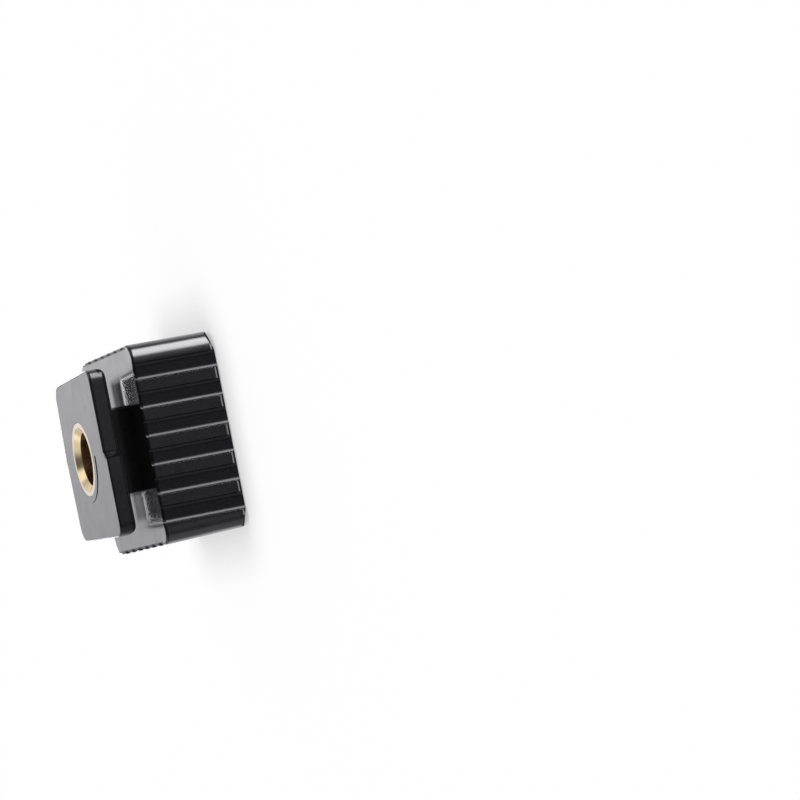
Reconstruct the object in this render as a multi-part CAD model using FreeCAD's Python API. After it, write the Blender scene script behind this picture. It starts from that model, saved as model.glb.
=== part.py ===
import FreeCAD, Part
import math
import os

# Sizes are in millimetres.
# X runs along the foot towards its entry end, Y runs across the foot.
# Z runs from the block's flat seat face up to the foot's face, along the insert's axis.

# Grip block, a square with grooves down its four sides
BLOCK_SIDE = 22.18
BLOCK_LENGTH = 9.53
LOWER_SIDE_LEAN = 0.34
CORNER_NEAR_UPPER = 2.0
CORNER_FAR_UPPER = 1.5
CORNER_FAR_LOWER = 1.7
CORNER_NEAR_LOWER = 1.3
SEAT_EDGE_RADIUS = 0.6
SEAT_CORNER_REACH = 15.16
SEAT_CORNER_RADIUS = 1.7
FRONT_EDGE_RADIUS = 0.25

# Grip grooves
GROOVE_DEPTH = 0.36
GROOVE_FILLET = 0.6
END_GROOVE_COUNT = 6
END_GROOVE_PITCH = 3.162
END_GROOVE_WIDTH = 2.0
SIDE_GROOVE_COUNT = 7
SIDE_GROOVE_PITCH = 2.925
SIDE_GROOVE_WIDTH = 1.7
SIDE_GROOVE_SHIFT = -0.885

# Neck between the block and the foot
NECK_LENGTH = 11.6
NECK_WIDTH = 9.66
NECK_EDGE_RADIUS = 0.3
RAIL_GAP = 2.68

# Foot that slides under the camera's shoe rails
FOOT_THICKNESS = 1.93
FOOT_NEAR_UPPER = 9.10
FOOT_NEAR_LOWER = 9.72
FOOT_STEP_RUN = 0.5
FOOT_FAR_MIDDLE = 7.80
FOOT_FAR_UPPER = 6.98
FOOT_FAR_LOWER = 7.45
FOOT_WIDTH_NEAR = 18.60
FOOT_WIDTH_FAR = 17.68
FOOT_CORNER_NEAR = 1.4
FOOT_CORNER_FAR = 1.9
FOOT_EDGE_RADIUS = 0.3
FOOT_SIDE_RADIUS = 1.0
FOOT_LEAD_START = 4.4
FOOT_LEAD_RADIUS = 12.0
FACE_STEP = 0.07
COLLAR_RADIUS = 4.9

# Threaded insert, pressed into the body from seat to face
INSERT_DIAMETER = 8.36
INSERT_FIT = 0.0
MOUTH_RADIUS = 3.62
MOUTH_BORE_RADIUS = 3.0
MOUTH_BORE_END = 1.4
THREAD_MINOR_RADIUS = 2.56

# Room that a cutting or joining shape keeps past the material
OVERLAP = 1.0

# Two heights closer than this are the same height
SAME_HEIGHT = 0.0001

HALF_SIDE = BLOCK_SIDE / 2
FOOT_BACK = BLOCK_LENGTH + RAIL_GAP
FOOT_FACE = FOOT_BACK + FOOT_THICKNESS
INSERT_RADIUS = INSERT_DIAMETER / 2
LEAN_ANGLE = math.degrees(math.atan2(LOWER_SIDE_LEAN, BLOCK_LENGTH))
X_AXIS = FreeCAD.Vector(1, 0, 0)
Y_AXIS = FreeCAD.Vector(0, 1, 0)
Z_AXIS = FreeCAD.Vector(0, 0, 1)


def vec(x, y, z=0.0):
    return FreeCAD.Vector(x, y, z)


def solid_from(points, run):
    """A flat outline given by its corners, pushed along run."""
    return Part.Face(Part.makePolygon(points + points[:1])).extrude(run)


def rises(edge):
    """Whether an edge climbs along the insert's axis."""
    return abs(edge.Vertexes[0].Z - edge.Vertexes[-1].Z) > OVERLAP


def round_corners(solid, corners):
    """Rounds the upright edge nearest to each corner, given as its place and its radius."""
    for (x, y), radius in corners.items():
        uprights = [e for e in solid.Edges if rises(e)]
        nearest = min(uprights, key=lambda e: math.dist((e.Vertexes[0].X, e.Vertexes[0].Y), (x, y)))
        solid = solid.makeFillet(radius, [nearest])
    return solid


def round_rim(solid, height, radius):
    """Rounds every edge that lies flat at the given height."""
    rim = [e for e in solid.Edges if all(abs(v.Z - height) < SAME_HEIGHT for v in e.Vertexes)]
    return solid.makeFillet(radius, rim)


# Grip block

def block_envelope():
    """The block without its grooves: leaning lower side, rounded corners, soft ends."""
    side_view = [
        vec(-HALF_SIDE, -HALF_SIDE + LOWER_SIDE_LEAN, 0),
        vec(-HALF_SIDE, HALF_SIDE, 0),
        vec(-HALF_SIDE, HALF_SIDE, BLOCK_LENGTH),
        vec(-HALF_SIDE, -HALF_SIDE, BLOCK_LENGTH),
    ]
    block = round_corners(solid_from(side_view, X_AXIS * BLOCK_SIDE), {
        (HALF_SIDE, HALF_SIDE): CORNER_NEAR_UPPER,
        (-HALF_SIDE, HALF_SIDE): CORNER_FAR_UPPER,
        (-HALF_SIDE, -HALF_SIDE): CORNER_FAR_LOWER,
        (HALF_SIDE, -HALF_SIDE): CORNER_NEAR_LOWER,
    })
    block = round_rim(round_rim(block, 0, SEAT_EDGE_RADIUS), BLOCK_LENGTH, FRONT_EDGE_RADIUS)
    limit = round_rim(Part.makeCylinder(SEAT_CORNER_REACH, BLOCK_LENGTH), 0, SEAT_CORNER_RADIUS)
    return block.common(limit)


def groove_profile(width):
    """A groove's section about the origin: flat floor, filleted flanks, open towards +X."""
    half = width / 2
    rise = GROOVE_FILLET - GROOVE_DEPTH
    floor_half = half - math.sqrt(GROOVE_FILLET**2 - rise**2)
    turn = math.acos(rise / GROOVE_FILLET) / 2
    mid_u = floor_half + GROOVE_FILLET * math.sin(turn)
    mid_v = rise - GROOVE_FILLET * math.cos(turn)
    edges = [
        Part.Arc(vec(0, -half), vec(mid_v, -mid_u), vec(-GROOVE_DEPTH, -floor_half)).toShape(),
        Part.LineSegment(vec(-GROOVE_DEPTH, -floor_half), vec(-GROOVE_DEPTH, floor_half)).toShape(),
        Part.Arc(vec(-GROOVE_DEPTH, floor_half), vec(mid_v, mid_u), vec(0, half)).toShape(),
        Part.LineSegment(vec(0, half), vec(OVERLAP, half)).toShape(),
        Part.LineSegment(vec(OVERLAP, half), vec(OVERLAP, -half)).toShape(),
        Part.LineSegment(vec(OVERLAP, -half), vec(0, -half)).toShape(),
    ]
    return Part.Face(Part.Wire(edges))


def groove_row(count, pitch, width, shift, turn):
    """A row of upright grooves down the side that faces turn degrees from +X."""
    cutters = []
    for i in range(count):
        along = (i - (count - 1) / 2) * pitch + shift
        face = groove_profile(width)
        face.translate(vec(HALF_SIDE, along, -OVERLAP))
        cutter = face.extrude(Z_AXIS * (BLOCK_LENGTH + 2 * OVERLAP))
        cutter.rotate(vec(0, 0), Z_AXIS, turn)
        cutters.append(cutter)
    return cutters


def make_block():
    ends = (END_GROOVE_COUNT, END_GROOVE_PITCH, END_GROOVE_WIDTH, 0)
    sides = (SIDE_GROOVE_COUNT, SIDE_GROOVE_PITCH, SIDE_GROOVE_WIDTH)
    cutters = groove_row(*ends, 0) + groove_row(*ends, 180)
    cutters += groove_row(*sides, -SIDE_GROOVE_SHIFT, 90)
    for cutter in groove_row(*sides, SIDE_GROOVE_SHIFT, -90):
        cutter.rotate(vec(0, -HALF_SIDE, BLOCK_LENGTH), X_AXIS, LEAN_ANGLE)
        cutters.append(cutter)
    return block_envelope().cut(cutters)


# Neck and foot

def make_neck():
    neck = Part.makeBox(NECK_LENGTH, NECK_WIDTH, RAIL_GAP + 2 * OVERLAP)
    neck.translate(vec(-NECK_LENGTH / 2, -NECK_WIDTH / 2, BLOCK_LENGTH - OVERLAP))
    return neck.makeFillet(NECK_EDGE_RADIUS, [e for e in neck.Edges if rises(e)])


def side_rounding(near, far, y_way):
    """Keeps the foot inside one long side whose underside edge is rounded."""
    length = near + far
    wide = FOOT_WIDTH_NEAR / 2
    taper = math.degrees(math.atan2(wide - FOOT_WIDTH_FAR / 2, length))
    radius = FOOT_SIDE_RADIUS
    bend = radius * (1 - math.sqrt(0.5))
    inner = -2 * FOOT_WIDTH_NEAR
    edges = [
        Part.LineSegment(vec(0, inner, 0), vec(0, -radius, 0)).toShape(),
        Part.Arc(vec(0, -radius, 0), vec(0, -bend, bend), vec(0, 0, radius)).toShape(),
        Part.LineSegment(vec(0, 0, radius), vec(0, 0, FOOT_THICKNESS)).toShape(),
        Part.LineSegment(vec(0, 0, FOOT_THICKNESS), vec(0, inner, FOOT_THICKNESS)).toShape(),
        Part.LineSegment(vec(0, inner, FOOT_THICKNESS), vec(0, inner, 0)).toShape(),
    ]
    keep = Part.Face(Part.Wire(edges)).extrude(X_AXIS * (-length - 2 * OVERLAP))
    keep.translate(vec(OVERLAP, 0, 0))
    keep.rotate(vec(0, 0), Z_AXIS, taper)
    keep.translate(vec(near, wide, FOOT_BACK))
    return keep if y_way > 0 else keep.mirror(vec(0, 0), Y_AXIS)


def foot_plate():
    """The foot's plate, tapered towards its far end, with the mould's step on its near end."""
    wide = FOOT_WIDTH_NEAR / 2
    slim = FOOT_WIDTH_FAR / 2
    corners = {
        (FOOT_NEAR_UPPER, wide): FOOT_CORNER_NEAR,
        (-FOOT_FAR_UPPER, slim): FOOT_CORNER_FAR,
        (-FOOT_FAR_LOWER, -slim): FOOT_CORNER_FAR,
        (FOOT_NEAR_LOWER, -wide): FOOT_CORNER_NEAR,
    }
    outline = list(corners)
    outline.insert(2, (-FOOT_FAR_MIDDLE, 0))
    outline += [(FOOT_NEAR_LOWER, -FOOT_STEP_RUN), (FOOT_NEAR_UPPER, 0)]
    plate = solid_from([vec(x, y, FOOT_BACK) for x, y in outline], Z_AXIS * FOOT_THICKNESS)
    plate = round_corners(plate, corners)
    return plate.makeFillet(FOOT_EDGE_RADIUS, [e for e in plate.Edges if not rises(e)])


def lead_in_limit():
    """Everything but the sliver that the foot's underside loses where it curves up at its far end."""
    room = BLOCK_SIDE
    start = vec(-FOOT_LEAD_START, -HALF_SIDE, FOOT_BACK)
    centre = start + Z_AXIS * FOOT_LEAD_RADIUS
    near_part = Part.makeBox(room, room, room, start)
    return near_part.fuse(Part.makeCylinder(FOOT_LEAD_RADIUS, room, centre, Y_AXIS))


def make_foot():
    """The plate, and its face set down below the mould's parting except for a collar round the insert."""
    foot = foot_plate().common(side_rounding(FOOT_NEAR_UPPER, FOOT_FAR_UPPER, 1))
    foot = foot.common(side_rounding(FOOT_NEAR_LOWER, FOOT_FAR_LOWER, -1)).common(lead_in_limit())
    lower_half = vec(-HALF_SIDE, -HALF_SIDE, FOOT_FACE - FACE_STEP)
    recess = Part.makeBox(BLOCK_SIDE, HALF_SIDE, OVERLAP, lower_half)
    collar = Part.makeCylinder(COLLAR_RADIUS, FOOT_THICKNESS, vec(0, 0, FOOT_BACK))
    return foot.cut(recess).fuse(collar)


def make_body():
    body = make_block().fuse([make_neck(), make_foot()]).removeSplitter()
    bore = Part.makeCylinder(INSERT_RADIUS + INSERT_FIT, FOOT_FACE + 2 * OVERLAP, vec(0, 0, -OVERLAP))
    return body.cut(bore)


# Brass insert

def make_insert():
    """Turned bush, the same at both ends: 45 degree mouth, short plain bore, then the thread's bore."""
    mouth = MOUTH_RADIUS - MOUTH_BORE_RADIUS
    lead = MOUTH_BORE_END + MOUTH_BORE_RADIUS - THREAD_MINOR_RADIUS
    one_end = [(MOUTH_RADIUS, 0), (MOUTH_BORE_RADIUS, mouth), (MOUTH_BORE_RADIUS, MOUTH_BORE_END),
               (THREAD_MINOR_RADIUS, lead)]
    other_end = [(radius, FOOT_FACE - z) for radius, z in reversed(one_end)]
    section = [(INSERT_RADIUS, 0)] + one_end + other_end + [(INSERT_RADIUS, FOOT_FACE)]
    points = [vec(radius, 0, z) for radius, z in section]
    return Part.Face(Part.makePolygon(points + points[:1])).revolve(vec(0, 0), Z_AXIS, 360)


os.makedirs("parts", exist_ok=True)
make_body().exportStep("parts/adapter_body.step")
make_insert().exportStep("parts/threaded_insert.step")
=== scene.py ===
import math

import bpy
from mathutils import Matrix, Vector


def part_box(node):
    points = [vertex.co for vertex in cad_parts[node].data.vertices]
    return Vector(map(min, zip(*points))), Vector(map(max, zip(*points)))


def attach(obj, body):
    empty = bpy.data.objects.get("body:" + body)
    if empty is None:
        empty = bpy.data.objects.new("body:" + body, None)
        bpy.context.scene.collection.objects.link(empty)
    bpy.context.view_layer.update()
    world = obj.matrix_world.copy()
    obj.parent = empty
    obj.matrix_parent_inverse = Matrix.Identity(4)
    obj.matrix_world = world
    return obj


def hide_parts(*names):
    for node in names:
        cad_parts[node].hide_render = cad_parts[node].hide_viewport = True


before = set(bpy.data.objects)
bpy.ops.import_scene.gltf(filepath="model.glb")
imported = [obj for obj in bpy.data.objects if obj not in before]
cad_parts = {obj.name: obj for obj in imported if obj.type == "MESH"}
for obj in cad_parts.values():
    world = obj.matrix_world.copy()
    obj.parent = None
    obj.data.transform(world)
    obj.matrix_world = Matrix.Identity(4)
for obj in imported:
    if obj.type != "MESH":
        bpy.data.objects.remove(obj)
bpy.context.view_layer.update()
scene = bpy.context.scene
MM = 0.001

# Camera, at the photograph's viewing angle
LENS_MM = 180.24
SENSOR_MM = 36.0
CLIP_START = 10 * MM
CAMERA_PLACE = (430.72 * MM, -15.39 * MM, 124.54 * MM)
CAMERA_RIGHT = (0.31260532, -0.19599863, -0.92944201)
CAMERA_UP = (0.0951703, 0.9800195, -0.17465505)
CAMERA_BACK = (0.94510345, -0.03385718, 0.32501256)

# The brass insert, in millimetres
INSERT_RADIUS = 4.18
INSERT_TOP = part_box("threaded_insert")[1].z / MM
MOUTH_RADIUS = 3.62
MOUTH_BORE_RADIUS = 3.0
MOUTH_BORE_END = 1.4
THREAD_MAJOR = 3.17
THREAD_MINOR = 2.56
THREAD_PITCH = 1.27
RIM_BREAK = 0.06
STEPS_AROUND = 128
STEPS_ALONG = 208
SHARP_ANGLE = 28

# Half of the thread's flat root and the slope of its flanks, both for a pitch of 1 and a depth of 1
ROOT_HALF = 0.125
FLANK_SLOPE = 3.6

# Measures of the body that its finish follows, in millimetres, and the lean of one side per millimetre
LAND_REACH = 11.07
FOOT_START = 12.2
LEAN_OFFSET = 0.34
SIDE_LEAN = 0.0357

# Ramps along one axis, in millimetres: where each is 0 and where it is 1
LAND_RAMP = (LAND_REACH - 0.05, LAND_REACH)
GROOVE_RAMP = (LAND_REACH - 0.45, LAND_REACH - 0.35)
FOOT_RAMP = (FOOT_START - 0.3, FOOT_START)
CORNER_RAMP = (9.0, 9.4)
INNER_RAMP = (9.0, 8.7)
STEP_RAMP = (8.9, 9.0)
LOWER_SIDE_RAMP = (0.5, -5.0)
BELOW_FACE_RAMP = (14.05, 14.0)
FOOT_SIDE_RAMP = (14.0, 13.9)
GAP_RAMP = (8.5, 7.3)
SHADE_RAMP = (0.3, 2.2)
# The strip of painted shade under the foot grows a little stronger towards +Y and +X over these spans
SHADE_BAND_SHARE_Y = (-3.0, 3.0)
SHADE_BAND_SHARE_X = (1.0, 3.5)

# Windows along one axis, in millimetres: where each starts, is full, begins to fade and ends
SHADE_Z = (9.3, 9.4, 9.6, 9.7)
# The strip of painted shade on the block's face under the foot, across z and x
SHADE_BAND_Z = (9.4, 9.5, 9.6, 9.7)
SHADE_BAND_X = (-0.6, 1.2, 4.2, 4.9)
# Places of painted shade, a duller, darker reflection: the corners' tips, the grooves' ends, and on the foot
# the underside's hem, the lead-in and the end step
TIP_Z = (9.2, 9.3, 9.51, 9.53)
NOTCH_Z = (9.15, 9.20, 9.515, 9.53)
NOTCH_REACH = (10.30, 10.40, 10.80, 10.86)
UNDERSIDE_Z = (12.0, 12.1, 12.55, 12.65)
LEAD_IN_Z = (12.25, 12.30, 12.9, 13.1)
STEP_Y = (-0.8, -0.55, 0.0, 0.2)

# Grain of each surface: scale, detail and roughness of its pattern
FINE_GRAIN = (5200.0, 3.0, 0.6)
BROAD_GRAIN = (420.0, 4.0, 0.55)
TARNISH = (600.0, 4.0, 0.6)

# Relief of each surface: strength and height
GRAIN_RELIEF = (0.12, 0.03 * MM)
RING_RELIEF = (0.12, 0.004 * MM)
RING_PITCH = 0.09 * MM

# Plastic and brass colours
PLASTIC_DEEP = (0.0018, 0.0018, 0.0024, 1)
PLASTIC_PALE = (0.0098, 0.0095, 0.0120, 1)
BRASS_DEEP = (0.76, 0.60, 0.34, 1)
BRASS_PALE = (0.90, 0.76, 0.48, 1)
# The darker colour in the bore is painted shade, and the rim's pale colour a painted highlight
BORE_SHADE_COLOUR = (0.55, 0.42, 0.30, 1)
RIM_HIGHLIGHT_COLOUR = (0.76, 0.66, 0.53, 1)

# Floor, just below the seat face
FLOOR_REACH = 3.0
FLOOR_LEVEL = -0.05 * MM
FLOOR_PAPER = (0.8, 0.8, 0.8, 1)
FLOOR_GLOW = 1.15
FLOOR_GLOW_SHARE = 0.80
CONTACT_COLOUR = (0.45, 0.45, 0.46, 1)
CONTACT_REACH = 7 * MM
WHITE = (1, 1, 1, 1)

# Windows of the studio's light, by the z or the y of a direction, and the light in each
PANEL_Z = (0.17, 0.22, 0.70, 0.88)
FLANK_Z = (-0.6, -0.3, 0.20, 0.25)
FLANK_LIGHT = 0.9
SWEEP_Z = (-0.18, -0.14, -0.09, -0.04)
SWEEP_LIGHT = 12.0
LOW_Z = (-0.7, -0.5, -0.1, 0.0)
LOW_LIGHT = 0.1
MIDDLE_Y = (-0.28, -0.16, 0.16, 0.28)
SOFTBOX_Z = (-0.47, -0.38, -0.26, -0.17)
SOFTBOX_LIGHT = 9.0
SOFTBOX = ((0.475, 0.819, -0.325), 8, 32, 1.0)
STUDIO_TINT = (0.80, 0.79, 0.815, 1)
ROOM_LIGHT = 0.03

# Soft lights: direction, degrees to where each is full, degrees to where it ends, strength
SOFT_LIGHTS = (
    ((0.945, 0.25, -0.30), 15, 60, 0.07),
    ((0.515, 0.793, -0.325), 20, 60, 0.25),
    ((0.64, 0.20, -0.76), 6, 24, 4.0),
    ((0.03, 0.60, 0.80), 8, 24, 1.6),
    ((-0.1, -0.62, 0.77), 18, 38, 1.0),
    ((0.30, 0.03, 0.95), 5, 25, 0.15),
    ((0.0, -0.95, -0.3), 35, 65, 0.42),
)


class Nodes:
    """A small helper that adds shader nodes and links them."""

    def __init__(self, tree):
        self.tree = tree
        tree.nodes.clear()

    def add(self, kind, **values):
        """A node with its settings, or with sockets named with _ for a space."""
        node = self.tree.nodes.new(kind)
        for name, value in values.items():
            if hasattr(node, name):
                setattr(node, name, value)
            else:
                node.inputs[name.replace("_", " ")].default_value = value
        return node

    def set(self, socket, value):
        """A number or a colour goes on the socket, anything else is linked to it."""
        if isinstance(value, (int, float, tuple)):
            socket.default_value = value
        else:
            self.tree.links.new(value, socket)

    def math(self, operation, *values, clamp=False):
        node = self.add("ShaderNodeMath", operation=operation, use_clamp=clamp)
        for socket, value in zip(node.inputs, values):
            self.set(socket, value)
        return node.outputs[0]

    def fold(self, operation, parts):
        """All parts combined by one operation."""
        total = parts[0]
        for part in parts[1:]:
            total = self.math(operation, total, part)
        return total

    def times(self, *parts):
        return self.fold("MULTIPLY", parts)

    def plus(self, *parts):
        return self.fold("ADD", parts)

    def most(self, *parts):
        return self.fold("MAXIMUM", parts)

    def rest(self, part):
        """What part leaves of 1."""
        return self.math("SUBTRACT", 1.0, part)

    def grow(self, part, gain, base, clamp=False):
        """base, and gain more where part is 1."""
        return self.math("MULTIPLY_ADD", part, gain, base, clamp=clamp)

    def ramp(self, value, start, end, height=1.0):
        """From 0 to height, softly, as value goes from start to end."""
        node = self.add("ShaderNodeMapRange", interpolation_type="SMOOTHSTEP",
                        From_Min=start, From_Max=end, To_Max=height)
        self.set(node.inputs["Value"], value)
        return node.outputs[0]

    def window(self, value, span, height=1.0):
        """height where value is well inside span, and 0 outside it."""
        start, full, fade, end = span
        return self.times(self.ramp(value, start, full), self.ramp(value, end, fade, height))

    def rise(self, value, span):
        """From 0 to 1 over a span of a place, in millimetres."""
        return self.ramp(value, *(edge * MM for edge in span))

    def inside(self, value, span):
        """1 well inside a span of a place, in millimetres."""
        return self.window(value, [edge * MM for edge in span])

    def axes(self, vector):
        split = self.add("ShaderNodeSeparateXYZ")
        self.set(split.inputs[0], vector)
        return split.outputs

    def noise(self, place, scale, detail, roughness):
        node = self.add("ShaderNodeTexNoise", Scale=scale, Detail=detail, Roughness=roughness)
        self.set(node.inputs["Vector"], place)
        return node.outputs["Fac"]

    def two_colours(self, share, first_at, first, second_at, second):
        """A colour that runs from first to second between two values of share."""
        node = self.add("ShaderNodeValToRGB")
        stops = ((first_at, first), (second_at, second))
        for element, (position, colour) in zip(node.color_ramp.elements, stops):
            element.position = position
            element.color = colour
        self.set(node.inputs["Fac"], share)
        return node.outputs["Color"]

    def mix_colour(self, share, first, second):
        node = self.add("ShaderNodeMix", data_type="RGBA")
        for name, value in (("Factor", share), (6, first), (7, second)):
            self.set(node.inputs[name], value)
        return node.outputs[2]

    def mix_shader(self, share, first, second):
        node = self.add("ShaderNodeMixShader")
        for socket, value in zip(node.inputs, (share, first.outputs[0], second.outputs[0])):
            self.set(socket, value)
        return node

    def bump(self, height, strength, depth):
        node = self.add("ShaderNodeBump", Strength=strength, Distance=depth)
        self.set(node.inputs["Height"], height)
        return node.outputs["Normal"]

    def surface(self, kind, shader):
        """Ends the tree in shader."""
        out = self.add(kind)
        self.set(out.inputs["Surface"], shader.outputs[0])


def material(name):
    made = bpy.data.materials.new(name)
    made.use_nodes = True
    return made, Nodes(made.node_tree)


# Materials

def body_zones(n, place):
    """Where on the body its finish changes, each from 0 to 1."""
    x, y, z = n.axes(place)
    x_size = n.math("ABSOLUTE", x)
    y_size = n.math("ABSOLUTE", y)
    leaning = n.math("SUBTRACT", n.grow(z, -SIDE_LEAN, LEAN_OFFSET * MM), y)
    reach = n.most(x_size, y, leaning)

    land = n.rise(reach, LAND_RAMP)
    foot = n.rise(z, FOOT_RAMP)
    corner = n.times(n.rise(x_size, CORNER_RAMP), n.rise(y_size, CORNER_RAMP))
    groove = n.times(n.math("SUBTRACT", n.rise(reach, GROOVE_RAMP), land), n.rest(corner))

    # The foot: its underside with the outer hem, the lead-in, the end step and its sides; the hem, the
    # lead-in and the step carry painted shade, a duller, darker reflection
    inner = n.rise(x_size, INNER_RAMP)
    underside = n.inside(z, UNDERSIDE_Z)
    under = n.times(underside, inner)
    hem = n.math("SUBTRACT", underside, under)
    lead_in = n.times(n.inside(z, LEAD_IN_Z), inner)
    step = n.times(foot, n.rise(x, STEP_RAMP), n.inside(y, STEP_Y))
    lower_side = n.times(foot, n.rise(y, LOWER_SIDE_RAMP), n.rise(z, BELOW_FACE_RAMP))
    sides = n.times(foot, n.rise(z, FOOT_SIDE_RAMP))

    # The block's face under the foot: a smoother part, and a strip of painted shade, a duller, darker
    # reflection where the foot shades the face, strongest towards +X and +Y
    gap = n.rise(y_size, GAP_RAMP)
    shade = n.times(n.inside(z, SHADE_Z), gap, n.rise(x, SHADE_RAMP))
    share_by_y = n.grow(n.rise(y, SHADE_BAND_SHARE_Y), 0.14, 0.86)
    share_by_x = n.grow(n.rise(x, SHADE_BAND_SHARE_X), 0.04, 0.95)
    painted_shade_band = n.times(n.inside(z, SHADE_BAND_Z), gap, n.inside(x, SHADE_BAND_X), share_by_y, share_by_x)

    # The last stretch of the corners and of the grooves' floors, next to the block's face, carries painted
    # shade, a duller, darker reflection
    tip = n.times(corner, n.inside(z, TIP_Z))
    notch = n.times(n.inside(reach, NOTCH_REACH), n.inside(z, NOTCH_Z))

    # All the places of painted shade together
    painted_shade_spots = n.most(step, lead_in, tip, painted_shade_band, notch, hem)
    return {"land": land, "foot": foot, "corner": corner, "groove": groove, "under": under,
            "lower_side": lower_side, "sides": sides, "shade": shade, "painted_shade_band": painted_shade_band, "painted_shade_spots": painted_shade_spots}


def black_plastic():
    """Semi-gloss moulded plastic, finely speckled: matt in the grooves, glossier at the block's corners as a
    painted highlight, and with painted shade under the foot and at some edges.
    """
    made, n = material("body_plastic")
    shader = n.add("ShaderNodeBsdfPrincipled", Coat_Roughness=0.10, IOR=1.5)
    n.surface("ShaderNodeOutputMaterial", shader)
    place = n.add("ShaderNodeTexCoord").outputs["Object"]
    zone = body_zones(n, place)
    fine = n.noise(place, *FINE_GRAIN)
    broad = n.noise(place, *BROAD_GRAIN)
    n.set(shader.inputs["Base Color"], n.two_colours(fine, 0.35, PLASTIC_DEEP, 0.7, PLASTIC_PALE))

    rough = n.grow(broad, 0.08, 0.19)
    for name, change in (("foot", 0.09), ("land", 0.04), ("shade", -0.15)):
        rough = n.grow(zone[name], change, rough)
    n.set(shader.inputs["Roughness"], n.grow(zone["under"], -0.2, rough, clamp=True))

    # The coat is left off in the grooves, on the foot's lower side and at the painted shade spots
    shine = n.rest(n.most(zone["groove"], zone["painted_shade_spots"], zone["lower_side"]))
    shine = n.grow(zone["shade"], -0.35, shine, clamp=True)
    n.set(shader.inputs["Coat Weight"], n.times(shine, n.grow(broad, 0.6, 0.5)))

    # Specular level: raised at the block's corners, a painted highlight, and lowered at the painted shade
    # spots, most on the strip under the foot
    loss = n.grow(zone["painted_shade_band"], 0.1, n.times(zone["painted_shade_spots"], 0.4))
    painted_reflection_level = n.math("SUBTRACT", n.grow(zone["corner"], 0.5, 0.5), loss)
    n.set(shader.inputs["Specular IOR Level"], painted_reflection_level)

    grain = n.plus(n.times(fine, 0.5), broad)
    grain = n.times(grain, n.grow(zone["sides"], 2.0, 1.0))
    n.set(shader.inputs["Normal"], n.bump(grain, *GRAIN_RELIEF))
    return made


def turned_brass():
    """Turned brass: fine tool rings, a slight tarnish, a worn rim painted pale as a highlight, and a darker
    thread colour in the bore that is painted shade.
    """
    made, n = material("insert_brass")
    shader = n.add("ShaderNodeBsdfPrincipled", Metallic=1.0)
    n.surface("ShaderNodeOutputMaterial", shader)
    place = n.add("ShaderNodeTexCoord").outputs["Object"]
    x, y, z = n.axes(place)
    radius = n.math("SQRT", n.plus(n.math("POWER", x, 2.0), n.math("POWER", y, 2.0)))
    rim = n.rise(radius, (MOUTH_RADIUS - 0.03, MOUTH_RADIUS + 0.01))
    mouth = n.rise(radius, (MOUTH_BORE_RADIUS - 0.02, MOUTH_BORE_RADIUS + 0.03))
    ends = n.most(n.rise(z, (INSERT_TOP - 1.0, INSERT_TOP - 0.5)), n.rise(z, (1.0, 0.5)))

    tarnish = n.noise(place, *TARNISH)
    colour = n.two_colours(tarnish, 0.3, BRASS_DEEP, 0.7, BRASS_PALE)
    # Inside the bore past its mouths the brass takes a darker colour, painted shade; the rim takes a paler
    # one, a painted highlight
    colour = n.mix_colour(n.times(mouth, ends), BORE_SHADE_COLOUR, colour)
    n.set(shader.inputs["Base Color"], n.mix_colour(rim, colour, RIM_HIGHLIGHT_COLOUR))

    worn = n.times(rim, ends)
    rings = n.math("SINE", n.times(radius, 2 * math.pi / RING_PITCH))
    n.set(shader.inputs["Normal"], n.bump(n.times(rings, n.rest(worn)), *RING_RELIEF))
    n.set(shader.inputs["Roughness"], n.grow(worn, -0.07, n.grow(tarnish, 0.14, 0.16)))
    return made


# The insert with its thread cut all the way through

def bore_radius(angle, z):
    """The bore's wall: a trapezoid thread between two short plain bores with 45 degree mouths."""
    depth = min(z, INSERT_TOP - z)
    past_bore = depth - MOUTH_BORE_END
    if past_bore < 0:
        return max(MOUTH_BORE_RADIUS, MOUTH_RADIUS - depth)
    turn = (z / THREAD_PITCH - angle / (2 * math.pi)) % 1.0
    cut = 1.0 + FLANK_SLOPE * (ROOT_HALF - abs(turn - 0.5))
    thread = THREAD_MINOR + (THREAD_MAJOR - THREAD_MINOR) * min(1.0, max(0.0, cut))
    return max(min(thread, MOUTH_BORE_RADIUS + past_bore), MOUTH_BORE_RADIUS - past_bore)


def make_insert():
    """One closed ring of quads: up the outside with its broken edges, then down the threaded bore."""
    levels = [INSERT_TOP * i / STEPS_ALONG for i in range(STEPS_ALONG, -1, -1)]
    outside = [(INSERT_RADIUS - RIM_BREAK, 0.0), (INSERT_RADIUS, RIM_BREAK),
               (INSERT_RADIUS, INSERT_TOP - RIM_BREAK), (INSERT_RADIUS - RIM_BREAK, INSERT_TOP)]
    rows = len(outside) + len(levels)
    points = []
    for i in range(STEPS_AROUND):
        angle = 2 * math.pi * i / STEPS_AROUND
        for radius, z in outside + [(bore_radius(angle, z), z) for z in levels]:
            points.append((radius * math.cos(angle) * MM, radius * math.sin(angle) * MM, z * MM))
    faces = []
    for i in range(STEPS_AROUND):
        here = i * rows
        after = (i + 1) % STEPS_AROUND * rows
        for j in range(rows):
            up = (j + 1) % rows
            faces.append((here + j, after + j, after + up, here + up))
    mesh = bpy.data.meshes.new("insert_threaded")
    mesh.from_pydata(points, [], faces)
    mesh.update()
    mesh.shade_smooth()
    mesh.set_sharp_from_angle(angle=math.radians(SHARP_ANGLE))
    made = bpy.data.objects.new("insert_threaded", mesh)
    scene.collection.objects.link(made)
    return made


def dress(thing, finish):
    """Gives a mesh one material in place of any that it has."""
    thing.data.materials.clear()
    thing.data.materials.append(finish)


brass = turned_brass()
dress(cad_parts["adapter_body"], black_plastic())
dress(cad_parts["threaded_insert"], brass)

insert = make_insert()
dress(insert, brass)
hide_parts("threaded_insert")
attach(insert, "root")


# Floor and studio

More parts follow.
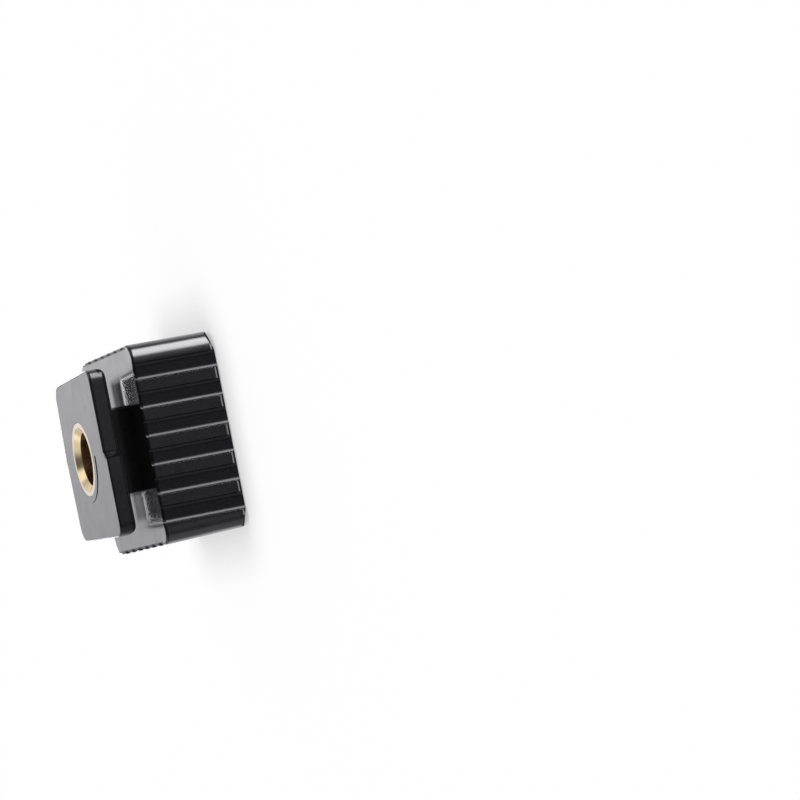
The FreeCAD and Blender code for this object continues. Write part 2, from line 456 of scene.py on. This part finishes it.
def pale_floor():
    """Glowing white paper with a soft contact shade, clear to reflections, to shadows and from below."""
    made, n = material("pale_floor")
    paper = n.add("ShaderNodeBsdfDiffuse", Color=FLOOR_PAPER)
    glow = n.add("ShaderNodeEmission", Strength=FLOOR_GLOW)
    contact = n.add("ShaderNodeAmbientOcclusion", Distance=CONTACT_REACH)
    n.set(glow.inputs["Color"], n.mix_colour(contact.outputs["AO"], CONTACT_COLOUR, WHITE))
    path = n.add("ShaderNodeLightPath")
    below = n.add("ShaderNodeNewGeometry").outputs["Backfacing"]
    passing = n.most(path.outputs["Is Glossy Ray"], path.outputs["Is Shadow Ray"], below)
    seen = n.mix_shader(FLOOR_GLOW_SHARE, paper, glow)
    clear = n.add("ShaderNodeBsdfTransparent")
    n.surface("ShaderNodeOutputMaterial", n.mix_shader(passing, seen, clear))
    return made


def make_floor():
    corners = [(-1, -1), (1, -1), (1, 1), (-1, 1)]
    mesh = bpy.data.meshes.new("floor")
    points = [(x * FLOOR_REACH, y * FLOOR_REACH, FLOOR_LEVEL) for x, y in corners]
    mesh.from_pydata(points, [], [(0, 1, 2, 3)])
    floor = bpy.data.objects.new("floor", mesh)
    scene.collection.objects.link(floor)
    dress(floor, pale_floor())


def soft_light(n, way, direction, inner, outer, strength):
    """A soft patch of light round a direction, full within inner degrees and gone past outer."""
    dot = n.add("ShaderNodeVectorMath", operation="DOT_PRODUCT")
    n.set(dot.inputs[0], way)
    dot.inputs[1].default_value = Vector(direction).normalized()
    start, end = (math.cos(math.radians(angle)) for angle in (outer, inner))
    return n.ramp(dot.outputs["Value"], start, end, strength)


def backdrop(n, way):
    """The light behind the object: a high panel, a thin bright sweep below it and a flank on each side."""
    x, y, z = n.axes(way)
    middle = n.window(y, MIDDLE_Y)
    level = n.plus(n.ramp(y, -0.06, 0.12, 0.95), 0.80)
    loss = n.most(n.ramp(y, 0.25, 0.50, 0.45), n.ramp(y, -0.25, -0.50, 0.1))
    panel = n.times(n.window(z, PANEL_Z), level, n.rest(loss))
    flank = n.times(n.window(z, FLANK_Z, FLANK_LIGHT), n.rest(middle))
    sweep = n.most(n.window(z, SWEEP_Z, SWEEP_LIGHT), n.window(z, LOW_Z, LOW_LIGHT))
    behind = n.ramp(x, -0.1, -0.6)
    return n.times(behind, n.plus(panel, flank, n.times(sweep, middle)))


def make_studio():
    """Soft surroundings by direction: a backdrop behind, a softbox on the +Y side, mostly dark in front."""
    world = bpy.data.worlds.new("studio")
    scene.world = world
    world.use_nodes = True
    n = Nodes(world.node_tree)
    back = n.add("ShaderNodeBackground", Color=STUDIO_TINT)
    white = n.add("ShaderNodeBackground", Color=WHITE, Strength=1.0)
    looking = n.add("ShaderNodeLightPath").outputs["Is Camera Ray"]
    n.surface("ShaderNodeOutputWorld", n.mix_shader(looking, back, white))
    way = n.add("ShaderNodeTexCoord").outputs["Generated"]
    softbox = n.times(n.window(n.axes(way)[2], SOFTBOX_Z, SOFTBOX_LIGHT), soft_light(n, way, *SOFTBOX))
    lights = [soft_light(n, way, *light) for light in SOFT_LIGHTS]
    n.set(back.inputs["Strength"], n.plus(backdrop(n, way), softbox, ROOM_LIGHT, *lights))


def make_camera():
    camera = bpy.data.objects.new("camera", bpy.data.cameras.new("camera"))
    scene.collection.objects.link(camera)
    camera.data.lens = LENS_MM
    camera.data.sensor_width = SENSOR_MM
    camera.data.clip_start = CLIP_START
    turn = Matrix((CAMERA_RIGHT, CAMERA_UP, CAMERA_BACK)).transposed()
    camera.matrix_world = Matrix.Translation(CAMERA_PLACE) @ turn.to_4x4()
    scene.camera = camera


make_floor()
make_studio()
make_camera()
scene.view_settings.view_transform = "Standard"
